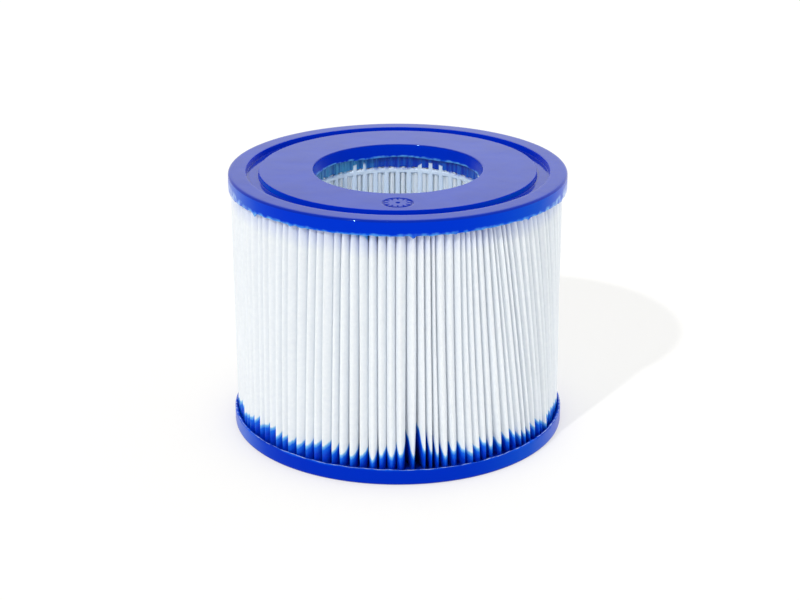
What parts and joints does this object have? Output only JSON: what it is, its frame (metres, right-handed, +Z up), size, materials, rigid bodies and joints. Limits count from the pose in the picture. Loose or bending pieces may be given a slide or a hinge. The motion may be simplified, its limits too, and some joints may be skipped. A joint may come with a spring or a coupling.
{
  "type": "pleated filter cartridge",
  "caption": "Round pleated water filter: a ring of folded fleece on a slotted core between two cast ring end caps, open bore right through.",
  "frame": {"origin": "middle of the lower end cap's outer face, which the cartridge stands on", "axes": "+Z up along the bore, towards the upper end cap with the moulded mark; -Y towards the mark"},
  "size_m": [0.105, 0.105, 0.083],
  "materials": {
    "cast_resin": "gloss",
    "core_plastic": "satin",
    "fleece": "matte",
    "hot_melt": "satin"
  },
  "bodies": {
    "root": {"bottom_end_cap": "cast_resin", "top_end_cap": "cast_resin", "core": "core_plastic", "pleated_media_01": "fleece", "pleated_media_02": "fleece", "pleated_media_03": "fleece", "pleated_media_04": "fleece", "pleated_media_05": "fleece", "pleated_media_06": "fleece", "pleated_media_07": "fleece", "pleated_media_08": "fleece", "pleated_media_09": "fleece", "pleated_media_10": "fleece", "pleated_media_11": "fleece", "pleated_media_12": "fleece", "pleated_media_13": "fleece", "pleated_media_14": "fleece", "side_seam_strip": "hot_melt"}
  },
  "joints": []
}
